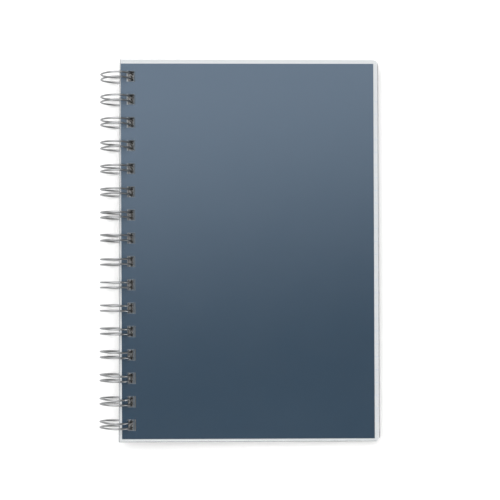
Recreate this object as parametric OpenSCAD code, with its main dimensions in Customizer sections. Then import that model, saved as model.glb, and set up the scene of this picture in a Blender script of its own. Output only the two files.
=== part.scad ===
// Wire bound notebook: a clear front sheet over a coloured card, a block of ruled
// pages and a white back board, all hung on one twin loop wire.
// X runs from the spine to the fore edge, Y to the head, Z up through the front cover.
// The origin is under the middle of the closed book, on the surface it lies on.

/* [Leaves] */
// Height of the covers and pages, along the spine
leaf_h = 209; // [120:1:297]
// Width of the covers and pages, from the spine edge to the fore edge
leaf_w = 142; // [80:1:210]
// Radius of the two corners at the fore edge
corner_r = 3; // [1:0.5:12]

/* [Stack] */
// Thickness of the clear front sheet
clear_t = 0.4; // [0.2:0.05:1]
// Thickness of the coloured card under the clear sheet
card_t = 0.3; // [0.2:0.05:1]
// Thickness of one page
page_t = 0.1; // [0.06:0.01:0.2]
// Number of pages in the block
page_count = 64; // [40:1:100]
// Thickness of the back board
board_t = 0.7; // [0.3:0.05:2]

/* [Card] */
// Strip of the clear sheet left free beyond the card at the spine
card_spine_gap = 1.3; // [0.8:0.1:4]
// Strip of the clear sheet left free beyond the card at the fore edge
card_fore_gap = 2.8; // [0.8:0.1:8]
// Strip of the clear sheet left free beyond the card at the head
card_head_gap = 2; // [0.8:0.1:8]
// Strip of the clear sheet left free beyond the card at the tail
card_tail_gap = 2; // [0.8:0.1:8]
// Small turn that the card was bound with, in degrees
card_turn = 0.2; // [-0.3:0.1:0.3]

/* [Holes] */
// Distance from one hole to the next along the spine
hole_pitch = 12.7; // [11:0.1:16]
// Size of a hole along the spine
hole_h = 6; // [5:0.1:7]
// Size of a hole across the leaf
hole_w = 4.3; // [4:0.1:6]
// Strip of leaf between the spine edge and the holes
hole_edge = 4.8; // [3:0.1:7]
// Shortest strip of leaf beyond the last hole at the head and the tail
end_strip = 3; // [2:0.5:12]

/* [Wire] */
// Diameter of the wire
wire_d = 1; // [0.8:0.05:1.2]
// How much wider the inside of the loops is than the closed stack
loop_room = 7.3; // [5:0.1:10]

/* [Clearances] */
// Play between the wire and the near side of a hole
hole_play = 0.12; // [0.05:0.01:0.3]
// Play between a loop and each end of its hole
leg_play = 1; // [0.6:0.1:1.2]
// Play between the closing seam of the wire and the leaves on each side of it
seam_play = 0.05; // [0.02:0.01:0.2]
// Play between the tip of a loop and the bends that it nests in
nest_play = 0.1; // [0.05:0.01:0.3]

/* [Hidden] */
$fn = 64;
wire_fn = 16;

// The closed stack, measured across at the spine, is centred on the wire's axis
pages_t = page_t * page_count;
seam_t = wire_d + 2 * seam_play;
stack_t = clear_t + card_t + pages_t + seam_t + board_t;
clear_z = stack_t / 2 - clear_t;
card_z = clear_z - card_t;
pages_z = card_z - pages_t;
board_z = -stack_t / 2;

// The loops, taken along the middle of the wire
wire_r = wire_d / 2;
loop_r = stack_t / 2 + loop_room / 2 + wire_r;
leg_y = hole_h / 2 - leg_play - wire_r;
bend_r = leg_y;

// The wire draws a little thinner where it is bent tight, and each tight bend
// laps into the wire beyond it by a few degrees
bend_thinning = 0.02;
bend_lap = 4;

// Near side of the holes and spine edge, measured from the wire's axis
wire_x = sqrt(pow(loop_r, 2) - pow(stack_t / 2, 2));
hole_x = wire_x - wire_r * loop_r / wire_x - hole_play;
spine_x = hole_x - hole_edge;

// Angles, up from the X axis, at which the legs end on the two sides of the seam
seam_r = norm([loop_r, bend_r]);
seam_z = board_z + board_t + seam_t / 2;
root_angle = atan(bend_r / loop_r) + asin(seam_z / seam_r);
nest = sqrt(pow(2 * bend_r + wire_d + nest_play, 2) - pow(leg_y + bend_r, 2));
tip_angle = root_angle - 2 * asin(nest / 2 / loop_r);

// The row of holes is centred on the leaf
hole_count = floor((leaf_h - hole_h - 2 * end_strip) / hole_pitch) + 1;
row_y = -(hole_count - 1) * hole_pitch / 2;

// The back board leans on the seam wire and meets the last page at the fore edge
seam_x = sqrt(pow(seam_r, 2) - pow(seam_z, 2));
board_lean = asin((seam_t - seam_play) / (spine_x + leaf_w - seam_x));

// Place of the wire's axis
axis_x = loop_r + wire_r - (loop_r + wire_r + spine_x + leaf_w) / 2;
axis_z = loop_r + wire_r;

// Outline of a leaf, from its spine edge at X = 0, with round fore edge corners
module leaf_outline() {
    translate([0, -leaf_h / 2])
        square([leaf_w - corner_r, leaf_h]);
    translate([0, corner_r - leaf_h / 2])
        square([leaf_w, leaf_h - 2 * corner_r]);
    for (side = [-1, 1])
        translate([leaf_w - corner_r, side * (leaf_h / 2 - corner_r)])
            circle(r = corner_r);
}

// Row of rectangular holes along the spine
module hole_row() {
    for (i = [0 : hole_count - 1])
        translate([hole_edge, row_y + i * hole_pitch - hole_h / 2])
            square([hole_w, hole_h]);
}

// A punched leaf of the given thickness, lying on its own Z = 0
module leaf(thickness) {
    linear_extrude(thickness)
        difference() {
            leaf_outline();
            hole_row();
        }
}

// Moves its children from the wire's axis to their place in the book
module on_axis() {
    translate([axis_x, 0, axis_z])
        children();
}

// Clear plastic sheet over the front
module front_cover() {
    color([0.9, 0.92, 0.94, 0.35])
        on_axis()
            translate([spine_x, 0, clear_z])
                leaf(clear_t);
}

// Coloured card, cut square and a little smaller than the sheet that covers it
module cover_card() {
    card_w = leaf_w - card_spine_gap - card_fore_gap;
    card_h = leaf_h - card_head_gap - card_tail_gap;
    card_y = (card_tail_gap - card_head_gap) / 2;
    color([0.31, 0.39, 0.46])
        on_axis()
            translate([spine_x, 0, card_z])
                linear_extrude(card_t)
                    difference() {
                        translate([card_spine_gap + card_w / 2, card_y])
                            rotate(card_turn)
                                square([card_w, card_h], center = true);
                        hole_row();
                    }
}

// Block of pages
module pages() {
    color([0.96, 0.96, 0.94])
        on_axis()
            translate([spine_x, 0, pages_z])
                leaf(pages_t);
}

// White back board, leaning against the last page at the fore edge
module back_cover() {
    color([0.93, 0.93, 0.92])
        on_axis()
            translate([seam_x, 0, board_z + board_t])
                rotate([0, -board_lean, 0])
                    translate([spine_x - seam_x, 0, -board_t])
                        leaf(board_t);
}

// Length of wire bent round an arc, from the angle start on
module wire_arc(radius, start, sweep, thickness) {
    rotate([0, 0, start])
        rotate_extrude(angle = sweep)
            translate([radius, 0])
                circle(d = thickness, $fn = wire_fn);
}

// Tight bend that turns the wire from one straight run to the next
module tight_bend(start, sweep) {
    wire_arc(bend_r, start - bend_lap, sweep + 2 * bend_lap, wire_d - bend_thinning);
}

// One loop of the wire: two legs round the ring, a round tip that joins them under
// the seam, and a bend outwards at the root of each leg above it
module loop() {
    for (side = [-1, 1])
        translate([0, side * leg_y, 0])
            rotate([90, 0, 0])
                wire_arc(loop_r, root_angle, 360 + tip_angle - root_angle, wire_d);
    rotate([0, -tip_angle, 0])
        translate([loop_r, 0, 0])
            rotate([90, 0, 90])
                tight_bend(0, 180);
    rotate([0, -root_angle, 0])
        translate([loop_r, 0, 0])
            for (side = [-1, 1])
                translate([0, side * (leg_y + bend_r), 0])
                    rotate([90, 0, 90])
                        tight_bend(side > 0 ? 180 : 270, 90);
}

// Straight lengths of wire along the seam, from each loop to the next
module bridges() {
    reach = leg_y + bend_r;
    for (i = [0 : hole_count - 2])
        rotate([0, -root_angle, 0])
            translate([loop_r, row_y + i * hole_pitch + reach, -bend_r])
                rotate([-90, 0, 0])
                    cylinder(d = wire_d, h = hole_pitch - 2 * reach, $fn = wire_fn);
}

// The twin loop wire, bent from one length
module binding_wire() {
    color([0.62, 0.64, 0.66])
        on_axis() {
            for (i = [0 : hole_count - 1])
                translate([0, row_y + i * hole_pitch, 0])
                    loop();
            bridges();
        }
}

front_cover();
cover_card();
pages();
back_cover();
binding_wire();
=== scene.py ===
"""A wire bound notebook: clear sheet, blue card, block of pages, white board and twin loop wire."""
import math

import bpy
import numpy as np
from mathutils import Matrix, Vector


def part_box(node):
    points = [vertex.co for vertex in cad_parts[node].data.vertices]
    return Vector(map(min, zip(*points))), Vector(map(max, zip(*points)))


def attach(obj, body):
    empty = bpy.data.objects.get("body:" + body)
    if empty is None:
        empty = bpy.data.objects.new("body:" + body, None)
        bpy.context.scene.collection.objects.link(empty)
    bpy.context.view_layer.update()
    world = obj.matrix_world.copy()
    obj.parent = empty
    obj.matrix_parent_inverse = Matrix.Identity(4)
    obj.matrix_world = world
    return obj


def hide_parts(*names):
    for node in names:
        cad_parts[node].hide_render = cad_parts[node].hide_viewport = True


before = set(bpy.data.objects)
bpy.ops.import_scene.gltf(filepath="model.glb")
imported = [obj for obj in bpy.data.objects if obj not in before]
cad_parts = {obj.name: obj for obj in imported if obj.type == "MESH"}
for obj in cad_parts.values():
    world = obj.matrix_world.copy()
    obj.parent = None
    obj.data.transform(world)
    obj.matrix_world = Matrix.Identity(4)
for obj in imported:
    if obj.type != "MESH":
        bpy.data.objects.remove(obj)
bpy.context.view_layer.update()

MM = 0.001
rng = np.random.default_rng(133009)

# Sizes in millimetres, as the frame's leaves and wire have them
LEAF_H, LEAF_W, CORNER_R = 209.0, 142.0, 3.0
HOLE_PITCH, HOLE_COUNT = 12.7, 16
HOLE_EDGE, HOLE_W, HOLE_H = 4.8, 4.3, 6.0
CLEAR_T, CARD_T, PAGES_T, BOARD_T = 0.4, 0.3, 6.4, 0.7
PAGE_COUNT = 64
WIRE_D, SEAM_PLAY, NEST_PLAY = 1.0, 0.05, 0.1
LOOP_R, LEG_Y, BEND_R = 8.6, 1.5, 1.5
STACK_T = CLEAR_T + CARD_T + PAGES_T + WIRE_D + 2 * SEAM_PLAY + BOARD_T

# Height of the wire's closing seam, measured from the axis of its loops
SEAM_Z = BOARD_T + SEAM_PLAY + WIRE_D / 2 - STACK_T / 2

# Holes of the card, the clear sheet and the board where they differ from those of the pages
CARD_HOLE_EDGE = 4.4
SHEET_HOLE_W, SHEET_HOLE_H = 3.3, 5.1
BOARD_HOLE_W = 2.4

# Strips left free beyond the card's four edges, and how far each edge is out of square
CARD_SPINE_GAP, CARD_FORE_GAP, CARD_HEAD_GAP, CARD_TAIL_GAP = 1.14, 2.7, 2.17, 1.62
CARD_SPINE_LEAN, CARD_FORE_LEAN, CARD_HEAD_TILT, CARD_TAIL_TILT = 0.0056, -0.0009, 0.0011, -0.0004

# Air under the clear sheet and the card, and between the book and the floor
AIR = 0.03
FLOOR_AIR = 0.02

# How far the pages stay inside the covers' outline, and the share of its room that a page fills
PAGE_SPINE_INSET, PAGE_INSET = 0.1, 0.12
PAGE_FILL = 0.93

# How far a loop may lean and splay along the spine, how far its legs draw together over
# the front, and how far they fan out there for each millimetre from the middle of the row
LEAN, SPLAY, PINCH, FAN = 0.4, 0.1, 0.15, 0.006

# The wire's axis and the spine edge, taken from the frame's boxes
spine_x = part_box("front_cover")[0].x / MM
AXIS_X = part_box("binding_wire")[0].x / MM + LOOP_R + WIRE_D / 2
AXIS_Z = LOOP_R + WIRE_D / 2

# Middle of each hole along the spine
row_y = HOLE_PITCH * (np.arange(HOLE_COUNT) - (HOLE_COUNT - 1) / 2)

# Camera over the book, a little towards the tail, as the photograph has it
CAMERA_AT = (-11.94, -28.28, 759.86)
CAMERA_TURN = (0.0377, -0.0237, -0.0017)
LENS = 98.45

# Tilt at which the book rests on its loops and its fore edge
FLOOR_TILT = math.radians(2.27)


class Socket:
    """An output of a node in a finish. Arithmetic on it adds Math nodes."""

    def __init__(self, finish, link):
        self.finish = finish
        self.link = link

    def math(self, operation, *values):
        return self.finish.node("ShaderNodeMath", {"operation": operation}, (self, *values))

    def __add__(self, other):
        return self.math("ADD", other)

    def __sub__(self, other):
        return self.math("SUBTRACT", other)

    def __rsub__(self, other):
        return self.finish.node("ShaderNodeMath", {"operation": "SUBTRACT"}, (other, self))

    def __neg__(self):
        return self.math("MULTIPLY", -1)

    def __mul__(self, other):
        return self.math("MULTIPLY", other)

    def __truediv__(self, other):
        return self.math("DIVIDE", other)

    __radd__ = __add__
    __rmul__ = __mul__

    def size(self):
        """The value without its sign."""
        return self.math("ABSOLUTE")

    def step(self, low, high):
        """0 below low, 1 above high, and smooth between them."""
        settings = {"interpolation_type": "SMOOTHSTEP"}
        values = {"Value": self, "From Min": low, "From Max": high}
        return self.finish.node("ShaderNodeMapRange", settings, values)


class Finish:
    """A material, or the world, whose nodes are added by one method."""

    def __init__(self, name, owner=None):
        self.owner = owner or bpy.data.materials.new(name)
        self.owner.use_nodes = True
        self.tree = self.owner.node_tree
        self.tree.nodes.clear()

    def node(self, kind, settings=None, values=(), output=0):
        """Adds a node of that kind with its settings, then gives its inputs their values or links."""
        made = self.tree.nodes.new(kind)
        for key, value in (settings or {}).items():
            setattr(made, key, value)
        for key, value in values.items() if isinstance(values, dict) else enumerate(values):
            if isinstance(value, Socket):
                self.tree.links.new(value.link, made.inputs[key])
            else:
                made.inputs[key].default_value = value
        return Socket(self, made.outputs[output]) if len(made.outputs) else made

    def place(self):
        """The point's X and Y in metres, in the object's own coordinates."""
        where = self.node("ShaderNodeTexCoord", output="Object")
        return [self.node("ShaderNodeSeparateXYZ", values=(where,), output=i) for i in range(2)]

    def facing(self):
        """How far the surface faces up or down, from 0 on a wall to 1 on a flat face."""
        normal = self.node("ShaderNodeTexCoord", output="Normal")
        return self.node("ShaderNodeSeparateXYZ", values=(normal,), output=2).size()

    def noise(self, scale, detail=2.0, vector=None, rough=0.5):
        """Noise from 0 to 1, with scale in waves to the metre."""
        values = {"Scale": scale, "Detail": detail, "Roughness": rough}
        values["Vector"] = vector or self.node("ShaderNodeTexCoord", output="Object")
        return self.node("ShaderNodeTexNoise", {"noise_dimensions": "3D"}, values)

    def stretched(self, scale, of=None):
        """Object coordinates, or those given, multiplied by scale on each axis."""
        source = of or self.node("ShaderNodeTexCoord", output="Object")
        return self.node("ShaderNodeVectorMath", {"operation": "MULTIPLY"}, (source, scale))

    def blend(self, factor, first, second):
        """Mix of two colours."""
        settings = {"data_type": "RGBA", "clamp_factor": True}
        values = {0: factor, 6: first, 7: second}
        return self.node("ShaderNodeMix", settings, values, output=2)

    def scaled(self, colour, by):
        """A colour times a number."""
        return self.node("ShaderNodeVectorMath", {"operation": "SCALE"}, {"Vector": colour, "Scale": by})

    def bump(self, height, distance):
        """Normal of a surface raised by height, which runs from 0 to 1, times distance in metres."""
        values = {"Strength": 1.0, "Distance": distance, "Height": height}
        return self.node("ShaderNodeBump", values=values)

    def shader(self, **values):
        """Principled shader, whose inputs are named with underscores for spaces."""
        named = {key.replace("_", " "): value for key, value in values.items()}
        return self.node("ShaderNodeBsdfPrincipled", values=named)

    def mixed(self, factor, first, second):
        """Mix of two shaders."""
        return self.node("ShaderNodeMixShader", values=(factor, first, second))

    def done(self, surface):
        """Puts the surface out, and gives the material back."""
        self.node("ShaderNodeOutputMaterial", values={"Surface": surface})
        return self.owner


def near_holes(x, y, edge, reach):
    """1 within reach, in millimetres, of the row of holes that starts at edge, and 0 elsewhere.

    The pattern repeats along the spine, so it is cut off beyond the first and the last hole.
    """
    across = (x / MM - (spine_x + edge + HOLE_W / 2)).size() - HOLE_W / 2
    along = ((y / (HOLE_PITCH * MM) + HOLE_COUNT / 2).math("FRACT") - 0.5).size() * HOLE_PITCH
    beyond = across.math("MAXIMUM", along - HOLE_H / 2).step(reach, reach + 0.15)
    row_end = (HOLE_COUNT - 1) / 2 * HOLE_PITCH + HOLE_H / 2
    past_row = (y.size() / MM).step(row_end + 0.75, row_end + 1.75)
    return (1 - beyond) * (1 - past_row)


def clear_plastic():
    """Clear sheet with a faint milky veil, whiter where it is cut, and darker and bluish over the punched
    holes, which is painted shade.

    A narrow rim at the spine, the fore edge and the tail is greyer: painted shade along the edges, with
    none at the head.
    """
    f = Finish("clear_plastic")
    x, y = f.place()
    # Painted shade: a grey rim along the spine, the fore edge and the tail, but not the head.
    spine_shade = 1 - (x - spine_x * MM).step(0.0003, 0.0005)
    fore_shade = (x - (spine_x + LEAF_W) * MM).step(-0.0005, -0.0003)
    tail_shade = 1 - (y + LEAF_H / 2 * MM).step(0.0002, 0.0005)
    rim = spine_shade.math("MAXIMUM", fore_shade).math("MAXIMUM", tail_shade)
    # Painted shade: the sheet is darker and bluish where it lies over the holes.
    punched = near_holes(x, y, CARD_HOLE_EDGE, 0)
    edge = 1 - f.facing()
    cloud = f.noise(60, 3)
    grain = f.noise(4200, 2)
    bands = (edge.step(0.3, 0.9) * 0.5).math("MAXIMUM", rim * 0.4).math("MAXIMUM", punched * 0.2)
    veil = 0.003 + cloud * 0.004 + bands
    bump = f.bump(grain, 0.004 * MM)
    greyed = f.blend(rim, (0.9, 0.92, 0.94, 1), (0.24, 0.25, 0.26, 1))
    body = f.shader(Base_Color=f.blend(punched, greyed, (0.1, 0.15, 0.2, 1)), Roughness=0.55, Normal=bump)
    clear = f.node("ShaderNodeBsdfTransparent", values=((0.965, 0.972, 0.98, 1),))
    film = f.mixed(veil, clear, body)
    shine = {"Color": (1, 1, 1, 1), "Roughness": 0.33, "Normal": bump}
    gloss = f.node("ShaderNodeBsdfAnisotropic", values=shine)
    fresnel = f.node("ShaderNodeFresnel", values={"IOR": 1.16, "Normal": bump})
    inside = f.node("ShaderNodeNewGeometry", output="Backfacing")
    return f.done(f.mixed(fresnel * (1 - inside), film, gloss))


def blue_print():
    """Slate blue card, lighter at the head and darker at the tail, on a slant: partly print, partly
    painted light falling from the head and the left.
    """
    f = Finish("blue_print")
    x, y = f.place()
    # Print and painted light: the slanted fade stands partly for light falling from the head and the left.
    along = (x * 0.16 - y) / 1.013
    fade = along.step(-0.105, 0.075)
    light = (0.102, 0.139, 0.184, 1)
    dark = (0.0175, 0.042, 0.07, 1)
    print_and_painted_light = f.blend(fade, light, dark)
    fibre = f.noise(900, 4, f.stretched((1, 0.35, 1)))
    speck = (fibre - 0.5) * 0.05 + 1
    edge = 1 - f.facing()
    colour = f.blend(edge.step(0.3, 0.7), f.scaled(print_and_painted_light, speck), (0.62, 0.62, 0.6, 1))
    rough = 0.5 + fibre * 0.12
    bump = f.bump(fibre, 0.01 * MM)
    return f.done(f.shader(Base_Color=colour, Roughness=rough, Specular_IOR_Level=0.02, Normal=bump))


def writing_paper():
    """White writing paper with fine fibres and pale ruled lines, with painted shade in and around the
    punched holes.
    """
    f = Finish("writing_paper")
    x, y = f.place()
    tone = f.node("ShaderNodeAttribute", {"attribute_name": "tone"}, output="Fac")
    fibre = f.noise(1500, 4)
    flat = f.facing().step(0.3, 0.7)
    spacing, first_line, last_line = 7 * MM, 88 * MM, -94 * MM
    phase = ((y + 1) / spacing).math("FRACT")
    line = 1 - (phase - 0.5).size().step(0.012, 0.03)
    between = (first_line - y).step(0, 0.2 * MM) * (y - last_line).step(0, 0.2 * MM)
    ruled = line * flat * between
    white = f.blend(tone, (0.6, 0.6, 0.59, 1), (0.68, 0.68, 0.67, 1))
    mottled = f.scaled(white, 0.97 + fibre * 0.06)
    marked = f.blend(ruled * 0.75, mottled, (0.5, 0.56, 0.64, 1))
    # Painted shade: the hole walls, and a narrow strip of the flat faces round each hole, are darkened.
    punched = near_holes(x, y, HOLE_EDGE, 0.45) * (1 - flat * 0.25)
    colour = f.blend(punched, marked, (0.2, 0.19, 0.175, 1))
    surface = f.shader(Base_Color=colour, Roughness=0.85, Normal=f.bump(fibre, 0.012 * MM))
    return f.done(surface)


def white_board():
    """White lined board: its back is smooth and white, its core and the side to the pages plain grey."""
    f = Finish("white_board")
    fibre = f.noise(900, 5, f.stretched((1, 0.45, 1)), 0.6)
    fleck = f.noise(2600, 2)
    normal = f.node("ShaderNodeTexCoord", output="Normal")
    back = (-f.node("ShaderNodeSeparateXYZ", values=(normal,), output=2)).step(0.5, 0.8)
    pulp = f.blend(fibre.step(0.3, 0.7), (0.225, 0.2, 0.17, 1), (0.31, 0.28, 0.24, 1))
    flecked = f.blend(fleck.step(0.66, 0.72) * 0.5, pulp, (0.12, 0.105, 0.09, 1))
    lining = f.blend(fibre, (0.66, 0.66, 0.65, 1), (0.7, 0.7, 0.69, 1))
    colour = f.blend(back, flecked, lining)
    rough = 0.75 + fibre * 0.15 - back * 0.2
    return f.done(f.shader(Base_Color=colour, Roughness=rough, Normal=f.bump(fibre, 0.02 * MM)))


def coated_wire():
    """Silver grey wire with faint draw marks along its length."""
    f = Finish("coated_wire")
    run = f.node("ShaderNodeUVMap", {"uv_map": "run"})
    marks = f.noise(1, 3, f.stretched((0.25, 9, 1), run))
    cloud = f.noise(1, 2, f.stretched((0.5, 0.6, 1), run))
    colour = f.blend(cloud, (0.3, 0.305, 0.31, 1), (0.4, 0.405, 0.41, 1))
    rough = 0.24 + marks * 0.14
    bump = f.bump(marks, 0.006 * MM)
    return f.done(f.shader(Base_Color=colour, Metallic=1.0, Roughness=rough, Normal=bump))


def solid_mesh(name, vertices, faces, finish, body, nodes, smooth=False):
    """Makes a piece from its vertices in millimetres, hangs it on its body and hides the frame's parts
    that it takes the place of.
    """
    mesh = bpy.data.meshes.new(name)
    mesh.from_pydata((np.asarray(vertices) * MM).tolist(), [], faces)
    mesh.polygons.foreach_set("use_smooth", np.full(len(mesh.polygons), smooth))
    mesh.materials.append(finish)
    mesh.update()
    piece = bpy.data.objects.new(name, mesh)
    bpy.context.scene.collection.objects.link(piece)
    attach(piece, body)
    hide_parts(*nodes)
    return piece


def leaf_grid(left, right, half_h, corner, hole=(HOLE_EDGE, HOLE_W, HOLE_H)):
    """Grid of a punched leaf, and which of its cells are kept.

    Rows run along the spine and columns across the leaf. In the last stretch before each
    end, as long as the corner's radius, a row at depth r (1 - cos a) ends at r (1 - sin a)
    short of the fore edge, which rounds the corner. A hole is given by its distance from
    the spine edge, its width and its height.
    """
    angles = np.linspace(0, math.pi / 2, 7)
    depth = corner * (1 - np.cos(angles)) if corner else np.zeros(1)
    short = corner * (1 - np.sin(angles)) if corner else np.zeros(1)
    edge, width, height = hole
    holes = (row_y[:, None] + np.array([-height / 2, height / 2])).ravel()
    rows = np.concatenate([-half_h + depth, holes, (half_h - depth)[::-1]])
    ends = right - np.concatenate([short, np.zeros(len(holes)), short[::-1]])
    inner = spine_x + edge
    outer = inner + width
    share = np.linspace(0, 1, 4)[1:]
    fore = outer + share * (ends[:, None] - outer)
    fixed = np.tile([left, inner, outer], (len(rows), 1))
    x = np.hstack([fixed, fore])
    y = np.tile(rows[:, None], (1, x.shape[1]))
    kept = np.ones((x.shape[0] - 1, x.shape[1] - 1), bool)
    first = len(depth)
    kept[first + 2 * np.arange(HOLE_COUNT), 1] = False
    return x, y, kept


def slab(x, y, kept, low, high):
    """Closed solid over a grid's kept cells, from the height low to high.

    Each cell is a quad on the top and one on the bottom. An edge that belongs to one kept
    cell only gets a wall, so the outline and every hole are closed.
    """
    rows, columns = x.shape
    index = np.arange(rows * columns).reshape(rows, columns)
    a, b = index[:-1, :-1][kept], index[:-1, 1:][kept]
    c, d = index[1:, 1:][kept], index[1:, :-1][kept]
    top = np.stack([a, b, c, d], 1)
    edges = np.concatenate([top[:, [k, (k + 1) % 4]] for k in range(4)])
    count = rows * columns
    forward = edges[:, 0] * count + edges[:, 1]
    backward = edges[:, 1] * count + edges[:, 0]
    rim = edges[~np.isin(forward, backward)]
    walls = np.stack([rim[:, 1], rim[:, 0], rim[:, 0] + count, rim[:, 1] + count], 1)
    flat = np.stack([x.ravel(), y.ravel()], 1)
    vertices = np.concatenate([
        np.column_stack([flat, np.full(count, high)]), np.column_stack([flat, np.full(count, low)])
    ])
    faces = np.concatenate([top, top[:, ::-1] + count, walls])
    used, places = np.unique(faces, return_inverse=True)
    return vertices[used], places.reshape(faces.shape)


def rounded(piece, width):
    """Breaks the piece's sharp edges with a small bevel, its width in millimetres."""
    bevel = piece.modifiers.new("edges", "BEVEL")
    bevel.width = width * MM
    bevel.segments = 2
    bevel.limit_method = "ANGLE"
    bevel.angle_limit = math.radians(40)


def make_clear_sheet():
    """The clear sheet, a hair above the card. Its punched holes are a little smaller."""
    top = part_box("front_cover")[1].z / MM
    hole = (CARD_HOLE_EDGE, SHEET_HOLE_W, SHEET_HOLE_H)
    grid = leaf_grid(spine_x, spine_x + LEAF_W, LEAF_H / 2, CORNER_R, hole)
    vertices, faces = slab(*grid, top - CLEAR_T + AIR, top)
    piece = solid_mesh(
        "clear_sheet", vertices, faces.tolist(), clear_plastic(), "front", ["front_cover"]
    )
    rounded(piece, 0.08)


def make_card():
    """The blue card inside the clear sheet's outline, cut and bound a hair out of square.

    A column leans by an angle that runs evenly from the spine edge's to the fore edge's.
    The head and tail rows each have a tilt of their own.
    """
    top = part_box("cover_card")[1].z / MM
    left = spine_x + CARD_SPINE_GAP
    right = spine_x + LEAF_W - CARD_FORE_GAP
    x, y, kept = leaf_grid(left, right, LEAF_H / 2, 0.0, (CARD_HOLE_EDGE, HOLE_W, HOLE_H))
    across = (x - left) / (right - left)
    y[0] += CARD_TAIL_GAP + (across[0] - 0.5) * (right - left) * CARD_TAIL_TILT
    y[-1] += -CARD_HEAD_GAP + (across[-1] - 0.5) * (right - left) * CARD_HEAD_TILT
    x -= y * (CARD_SPINE_LEAN + (CARD_FORE_LEAN - CARD_SPINE_LEAN) * across)
    vertices, faces = slab(x, y, kept, top - CARD_T + AIR, top)
    piece = solid_mesh(
        "blue_card", vertices, faces.tolist(), blue_print(), "front", ["cover_card"]
    )
    rounded(piece, 0.04)


def make_pages():
    """The pages, one thin slab each, shifted by a slow drift and a little noise.

    The drift is a sum of small random steps, held within a limit.
    """
    step, limit, noise = 0.02, 0.08, 0.03
    low, high = (c.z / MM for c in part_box("pages"))
    pitch = (high - low) / PAGE_COUNT
    drift = np.cumsum(rng.normal(0, step, (PAGE_COUNT, 2)), 0)
    shift = np.clip(drift - drift.mean(0), -limit, limit) + rng.uniform(-noise, noise, (PAGE_COUNT, 2))
    left, right = spine_x + PAGE_SPINE_INSET, spine_x + LEAF_W - PAGE_INSET
    grid = leaf_grid(left, right, LEAF_H / 2 - PAGE_INSET, CORNER_R)
    one, faces = slab(*grid, 0.0, pitch * PAGE_FILL)
    places = np.column_stack([shift, low + pitch * np.arange(PAGE_COUNT)])
    vertices = (one[None] + places[:, None]).reshape(-1, 3)
    offsets = len(one) * np.arange(PAGE_COUNT)
    stack = (faces[None] + offsets[:, None, None]).reshape(-1, 4)
    piece = solid_mesh(
        "page_stack", vertices, stack.tolist(), writing_paper(), "book", ["pages"]
    )
    tone = np.repeat(rng.uniform(0.2, 1, PAGE_COUNT), len(one))
    piece.data.attributes.new("tone", "FLOAT", "POINT").data.foreach_set("value", tone)


def make_board():
    """The back board, leaning about the seam of the wire until its fore edge meets the pages.

    Its holes end nearer the wire than those of the pages.
    """
    low = AXIS_Z - STACK_T / 2
    hole = (HOLE_EDGE, BOARD_HOLE_W, HOLE_H)
    grid = leaf_grid(spine_x, spine_x + LEAF_W, LEAF_H / 2, CORNER_R, hole)
    vertices, faces = slab(*grid, low, low + BOARD_T)
    seam_x = AXIS_X + math.sqrt(LOOP_R**2 + BEND_R**2 - SEAM_Z**2)
    lean = math.asin((WIRE_D + SEAM_PLAY) / (spine_x + LEAF_W - seam_x))
    across = vertices[:, 0] - seam_x
    rise = vertices[:, 2] - (low + BOARD_T)
    vertices[:, 0] = seam_x + across * math.cos(lean) - rise * math.sin(lean)
    vertices[:, 2] = low + BOARD_T + across * math.sin(lean) + rise * math.cos(lean)
    piece = solid_mesh(
        "back_board", vertices, faces.tolist(), white_board(), "back", ["back_cover"]
    )
    rounded(piece, 0.08)


def wire_path():
    """Middle of the wire, the outward direction across it, and its length so far.

    A point is given by an angle p round the loops, a place y along the spine and a
    straight distance t along the tangent at p. Each loop runs through a bend, a leg, the
    round tip, the other leg and a bend, and the next loop's first point closes the bridge.

    A loop leans and its legs splay in step with (1 - cos a) / 2, where a is the angle from
    its root. On the way over the front the legs also fan out and draw together, in step
    with the square of sin a.
    """
    root = math.atan2(BEND_R, LOOP_R) + math.asin(SEAM_Z / math.hypot(LOOP_R, BEND_R))
    nest = math.sqrt((2 * BEND_R + WIRE_D + NEST_PLAY) ** 2 - (LEG_Y + BEND_R) ** 2)
    tip = root - 2 * math.asin(nest / 2 / LOOP_R) + 2 * math.pi
    quarter = np.radians(np.linspace(-90, 0, 8))[:-1]
    half = np.radians(np.linspace(180, 0, 17))[1:-1]
    sweep = np.linspace(root, tip, 64)
    bend, leg = np.full(len(quarter), root), np.ones(len(sweep))
    reach = LEG_Y + BEND_R
    p = np.concatenate([bend, sweep, np.full(len(half), tip), sweep[::-1], bend])
    y = np.concatenate([
        -reach + BEND_R * np.cos(quarter), -LEG_Y * leg, BEND_R * np.cos(half),
        LEG_Y * leg, (reach - BEND_R * np.cos(quarter))[::-1],
    ])
    t = np.concatenate([
        BEND_R * np.sin(quarter), 0 * leg, BEND_R * np.sin(half), 0 * leg,
        (BEND_R * np.sin(quarter))[::-1],
    ])
    far = (1 - np.cos(p - root)) / 2
    over = np.where(p - root < math.pi, np.sin(p - root) ** 2, 0)
    lean = rng.uniform(-LEAN, LEAN, (HOLE_COUNT, 1))
    splay = rng.uniform(-SPLAY, SPLAY, (HOLE_COUNT, 1)) * np.sign(y)
    fan = FAN * row_y[:, None] - PINCH * np.sign(y)
    y = (row_y[:, None] + y + (lean + splay) * far + fan * over).ravel()
    p, t = np.tile(p, HOLE_COUNT), np.tile(t, HOLE_COUNT)
    outward = np.stack([np.cos(p), np.zeros_like(p), np.sin(p)], 1)
    tangent = np.stack([-np.sin(p), np.zeros_like(p), np.cos(p)], 1)
    middle = outward * LOOP_R + tangent * t[:, None] + np.stack([np.zeros_like(y), y, np.zeros_like(y)], 1)
    middle += np.array([AXIS_X, 0, AXIS_Z])
    length = np.concatenate([[0], np.cumsum(np.linalg.norm(np.diff(middle, axis=0), axis=1))])
    return middle, outward, length


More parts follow.
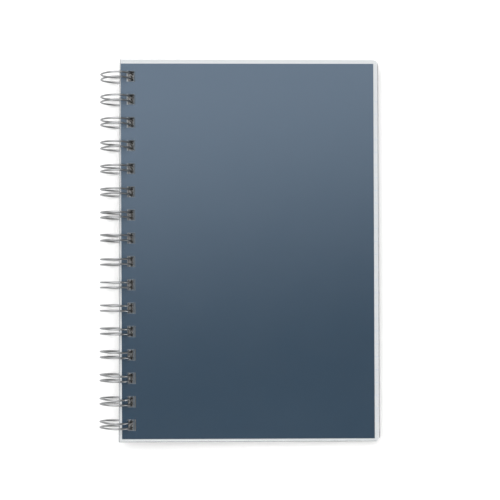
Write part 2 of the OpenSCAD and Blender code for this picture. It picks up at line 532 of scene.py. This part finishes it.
def make_wire():
    """The twin loop wire: a circle carried along the path, with flat cut ends."""
    sides = 12
    middle, outward, length = wire_path()
    forward = np.gradient(middle, axis=0)
    forward /= np.linalg.norm(forward, axis=1, keepdims=True)
    across = np.cross(forward, outward)
    across /= np.linalg.norm(across, axis=1, keepdims=True)
    turn = np.linspace(0, 2 * math.pi, sides, endpoint=False)
    ring = outward[:, None] * np.cos(turn)[None, :, None] + across[:, None] * np.sin(turn)[None, :, None]
    vertices = (middle[:, None] + ring * WIRE_D / 2).reshape(-1, 3)
    count = len(middle)
    index = np.arange(count * sides).reshape(count, sides)
    after = np.roll(index, -1, 1)
    faces = np.stack([index[:-1], index[1:], after[1:], after[:-1]], 2).reshape(-1, 4)
    caps = [index[0].tolist(), index[-1, ::-1].tolist()]
    faces = faces.tolist() + caps
    piece = solid_mesh(
        "twin_loop_wire", vertices, faces, coated_wire(), "book", ["binding_wire"], True
    )
    corner = np.empty(len(piece.data.loops), int)
    piece.data.loops.foreach_get("vertex_index", corner)
    run = np.column_stack([length[corner // sides], corner % sides / sides])
    piece.data.uv_layers.new(name="run").data.foreach_set("uv", run.ravel())


def make_floor():
    """Plain pale floor that touches the loops and the fore edge.

    It fades into the surroundings far from the book, and it is clear from below. The faces
    of the book that are seen first get the light of the surroundings through it.
    """
    half = 3.0
    mesh = bpy.data.meshes.new("floor")
    corners = [(-half, -half, 0), (half, -half, 0), (half, half, 0), (-half, half, 0)]
    mesh.from_pydata(corners, [], [(0, 1, 2, 3)])
    floor = bpy.data.objects.new("floor", mesh)
    bpy.context.scene.collection.objects.link(floor)
    outer_r = LOOP_R + WIRE_D / 2
    touch = AXIS_X + outer_r * math.sin(FLOOR_TILT)
    drop = outer_r * (1 - math.cos(FLOOR_TILT))
    floor.location = (touch * MM, 0, (drop - FLOOR_AIR) * MM)
    floor.rotation_euler = (0, -FLOOR_TILT, 0)
    f = Finish("floor")
    below = f.node("ShaderNodeNewGeometry", output="Backfacing")
    first = f.node("ShaderNodeLightPath", output="Ray Depth").math("COMPARE", 1, 0.1)
    x, y = f.place()
    far = (x * x + y * y).math("SQRT").step(0.4, 1.3)
    paint = f.shader(Base_Color=(0.97, 0.97, 0.97, 1), Roughness=0.8, Specular_IOR_Level=0.1)
    gone = f.node("ShaderNodeBsdfTransparent")
    clear = below.math("MAXIMUM", far).math("MAXIMUM", first)
    mesh.materials.append(f.done(f.mixed(clear, paint, gone)))


def make_lamp(name, at, size, power, aim=(0.0, 0.0, 0.0), spread=180):
    """A square soft light at a place in metres, turned to its aim, with its spread in degrees."""
    light = bpy.data.lights.new(name, "AREA")
    light.size = size
    light.energy = power
    light.spread = math.radians(spread)
    lamp = bpy.data.objects.new(name, light)
    bpy.context.scene.collection.objects.link(lamp)
    lamp.location = at
    lamp.visible_camera = False
    away = np.array(at) - np.array(aim)
    reach = math.hypot(away[0], away[1])
    lamp.rotation_euler = (0, math.atan2(reach, away[2]), math.atan2(away[1], away[0]))


def make_world():
    """Surroundings that the camera sees white.

    They light the book softly from above, more from the left, and evenly from below.
    """
    world = bpy.data.worlds.new("studio")
    bpy.context.scene.world = world
    f = Finish("studio", world)
    direction = f.node("ShaderNodeTexCoord", output="Generated")
    across = f.node("ShaderNodeSeparateXYZ", values=(direction,), output=0)
    up = f.node("ShaderNodeSeparateXYZ", values=(direction,), output=2)
    above = up.step(-0.05, 0)
    glow = 1 - across.step(-0.7, 0.6)
    seen = f.node("ShaderNodeLightPath", output="Is Camera Ray")
    level = ((0.18 + glow * 0.3) * above + 1 - above) * (1 - seen) + seen
    sky = f.node("ShaderNodeBackground", values={"Color": (1, 1, 1, 1), "Strength": level})
    f.node("ShaderNodeOutputWorld", values={"Surface": sky})


def make_camera():
    """The photograph's camera: almost straight above the book."""
    camera = bpy.data.cameras.new("camera")
    camera.lens = LENS
    camera.sensor_width = 36
    camera.clip_start = 0.01
    holder = bpy.data.objects.new("camera", camera)
    bpy.context.scene.collection.objects.link(holder)
    holder.location = [c * MM for c in CAMERA_AT]
    holder.rotation_euler = CAMERA_TURN
    bpy.context.scene.camera = holder


make_camera()
make_wire()
make_pages()
make_board()
make_card()
make_clear_sheet()
make_floor()
make_world()
make_lamp("key", (-0.2, 0.4, 1.45), 2.2, 40.5)
make_lamp("kicker", (0.3, -0.27, 0.08), 0.12, 0.02, (-0.06, -0.09, 0.012), 30)
bpy.context.scene.view_settings.view_transform = "Standard"
bpy.context.scene.view_settings.look = "None"
